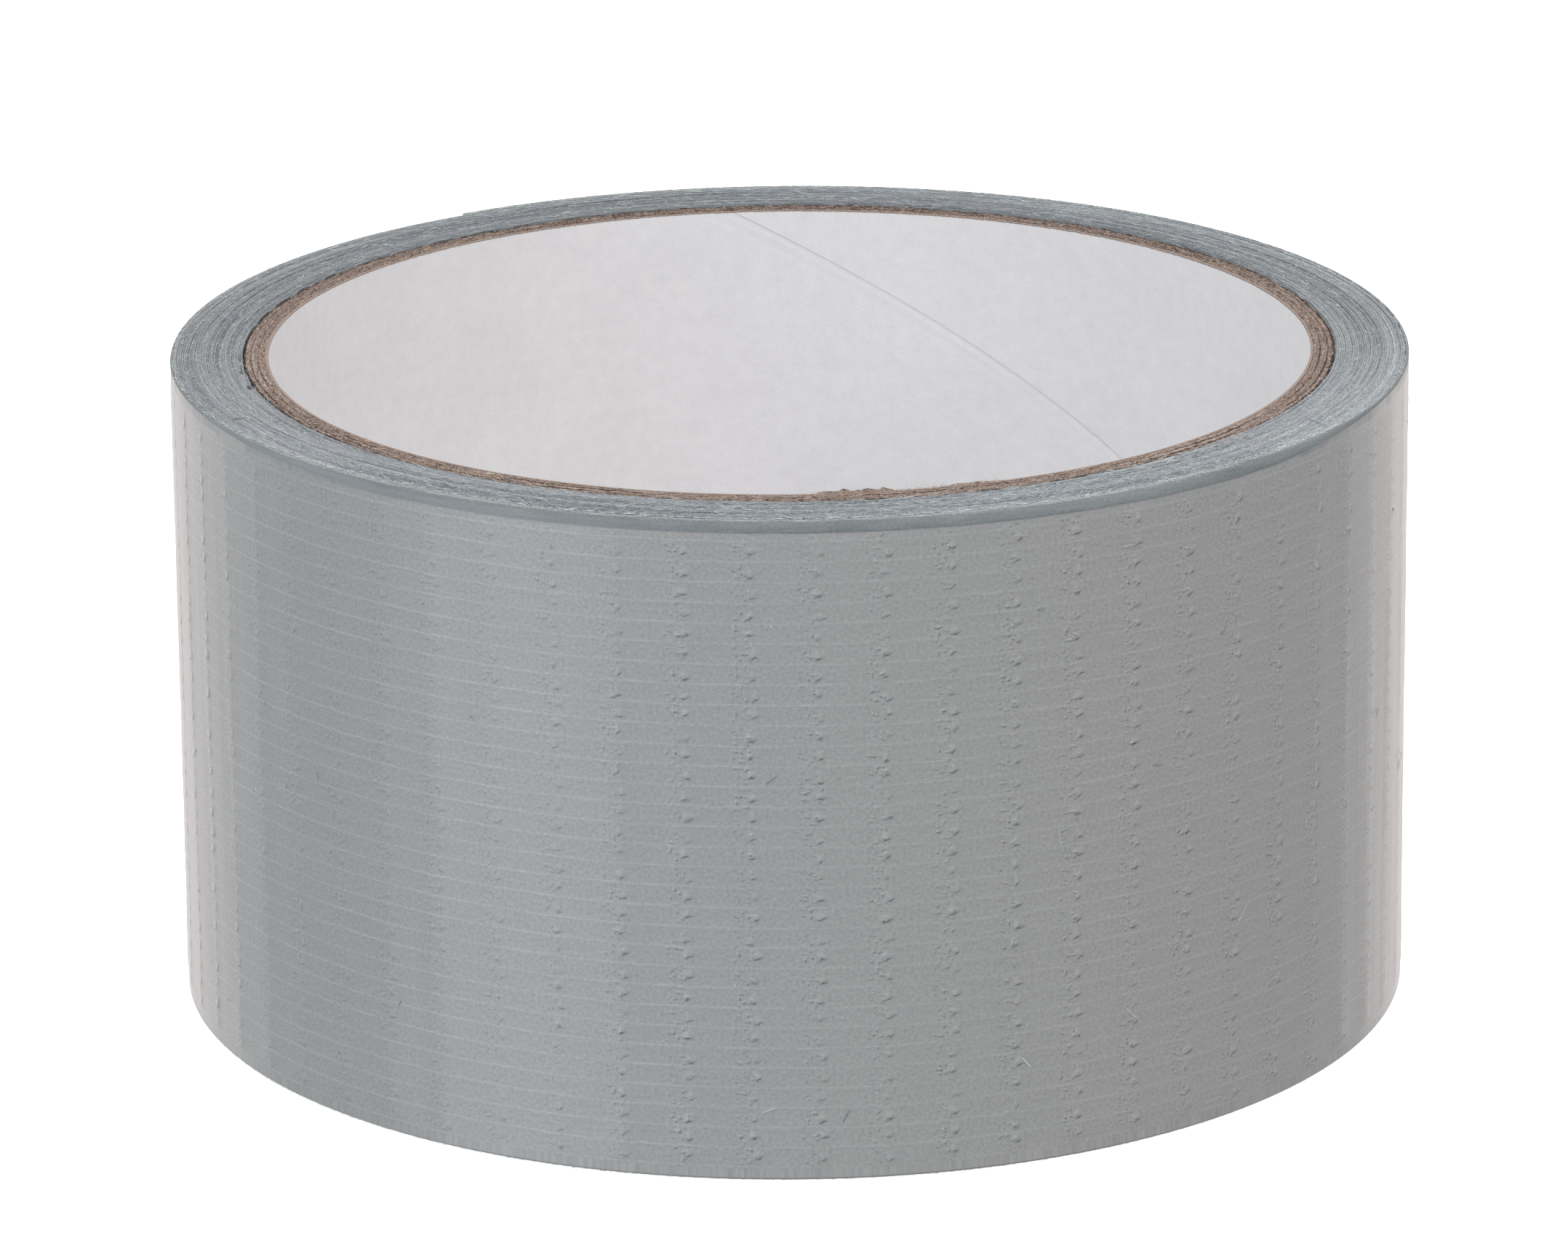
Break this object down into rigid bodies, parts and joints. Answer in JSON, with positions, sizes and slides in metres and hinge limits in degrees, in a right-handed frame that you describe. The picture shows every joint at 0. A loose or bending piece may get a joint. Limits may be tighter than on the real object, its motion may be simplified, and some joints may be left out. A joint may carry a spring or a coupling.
{
  "type": "duct tape roll",
  "caption": "Roll of grey cloth-backed adhesive tape wound on a white-lined spiral board core, with a free end that peels away from the roll and bends.",
  "frame": {"origin": "on the bore's axis, in the plane of the end face that the roll rests on", "axes": "+Z along the bore's axis, up when the roll lies flat; the free end of the tape is on the +Y side and its tip points towards -X"},
  "size_m": [0.0902, 0.0903, 0.048],
  "materials": {
    "tape_backing": "satin",
    "wound_tape": "matte",
    "cloth_scrim": "matte",
    "adhesive": "satin",
    "core_board": "matte",
    "liner_paper": "matte"
  },
  "bodies": {
    "roll": {"core_liner": "liner_paper", "core_board_inner": "core_board", "core_board_middle": "core_board", "core_board_outer": "core_board", "wound_tape": "wound_tape", "outer_turn_backing": "tape_backing", "outer_turn_scrim": "cloth_scrim", "outer_turn_adhesive": "adhesive"},
    "tail_1": {"tail_1_backing": "tape_backing", "tail_1_scrim": "cloth_scrim", "tail_1_adhesive": "adhesive"},
    "tail_2": {"tail_2_backing": "tape_backing", "tail_2_scrim": "cloth_scrim", "tail_2_adhesive": "adhesive"},
    "tail_3": {"tail_3_backing": "tape_backing", "tail_3_scrim": "cloth_scrim", "tail_3_adhesive": "adhesive"},
    "tail_4": {"tail_4_backing": "tape_backing", "tail_4_scrim": "cloth_scrim", "tail_4_adhesive": "adhesive"},
    "tail_5": {"tail_5_backing": "tape_backing", "tail_5_scrim": "cloth_scrim", "tail_5_adhesive": "adhesive"},
    "tail_6": {"tail_6_backing": "tape_backing", "tail_6_scrim": "cloth_scrim", "tail_6_adhesive": "adhesive"},
    "tail_7": {"tail_7_backing": "tape_backing", "tail_7_scrim": "cloth_scrim", "tail_7_adhesive": "adhesive"},
    "tail_8": {"tail_8_backing": "tape_backing", "tail_8_scrim": "cloth_scrim", "tail_8_adhesive": "adhesive"},
    "tail_9": {"tail_9_backing": "tape_backing", "tail_9_scrim": "cloth_scrim", "tail_9_adhesive": "adhesive"},
    "tail_10": {"tail_10_backing": "tape_backing", "tail_10_scrim": "cloth_scrim", "tail_10_adhesive": "adhesive"}
  },
  "joints": [
    {"name": "peel", "type": "hinge", "parent": "roll", "child": "tail_1", "pos_m": [0.02977, 0.03395, 0], "axis": [0, 0, -1], "range_deg": [0, 80]},
    {"name": "bend_2", "type": "hinge", "parent": "tail_1", "child": "tail_2", "pos_m": [0.02509, 0.03755, 0], "axis": [0, 0, -1], "range_deg": [0, 12]},
    {"name": "bend_3", "type": "hinge", "parent": "tail_2", "child": "tail_3", "pos_m": [0.01997, 0.0405, 0], "axis": [0, 0, -1], "range_deg": [0, 12]},
    {"name": "bend_4", "type": "hinge", "parent": "tail_3", "child": "tail_4", "pos_m": [0.01452, 0.04277, 0], "axis": [0, 0, -1], "range_deg": [0, 12]},
    {"name": "bend_5", "type": "hinge", "parent": "tail_4", "child": "tail_5", "pos_m": [0.00881, 0.0443, 0], "axis": [0, 0, -1], "range_deg": [0, 12]},
    {"name": "bend_6", "type": "hinge", "parent": "tail_5", "child": "tail_6", "pos_m": [0.00295, 0.04507, 0], "axis": [0, 0, -1], "range_deg": [0, 12]},
    {"name": "bend_7", "type": "hinge", "parent": "tail_6", "child": "tail_7", "pos_m": [-0.00295, 0.04508, 0], "axis": [0, 0, -1], "range_deg": [0, 12]},
    {"name": "bend_8", "type": "hinge", "parent": "tail_7", "child": "tail_8", "pos_m": [-0.00881, 0.04431, 0], "axis": [0, 0, -1], "range_deg": [0, 12]},
    {"name": "bend_9", "type": "hinge", "parent": "tail_8", "child": "tail_9", "pos_m": [-0.01452, 0.04278, 0], "axis": [0, 0, -1], "range_deg": [0, 12]},
    {"name": "bend_10", "type": "hinge", "parent": "tail_9", "child": "tail_10", "pos_m": [-0.01998, 0.04052, 0], "axis": [0, 0, -1], "range_deg": [0, 12]}
  ],
  "couplings": [
    {"joint": "bend_3", "follows": "bend_2", "ratio": 1},
    {"joint": "bend_4", "follows": "bend_2", "ratio": 1},
    {"joint": "bend_5", "follows": "bend_2", "ratio": 1},
    {"joint": "bend_6", "follows": "bend_2", "ratio": 1},
    {"joint": "bend_7", "follows": "bend_2", "ratio": 1},
    {"joint": "bend_8", "follows": "bend_2", "ratio": 1},
    {"joint": "bend_9", "follows": "bend_2", "ratio": 1},
    {"joint": "bend_10", "follows": "bend_2", "ratio": 1}
  ]
}
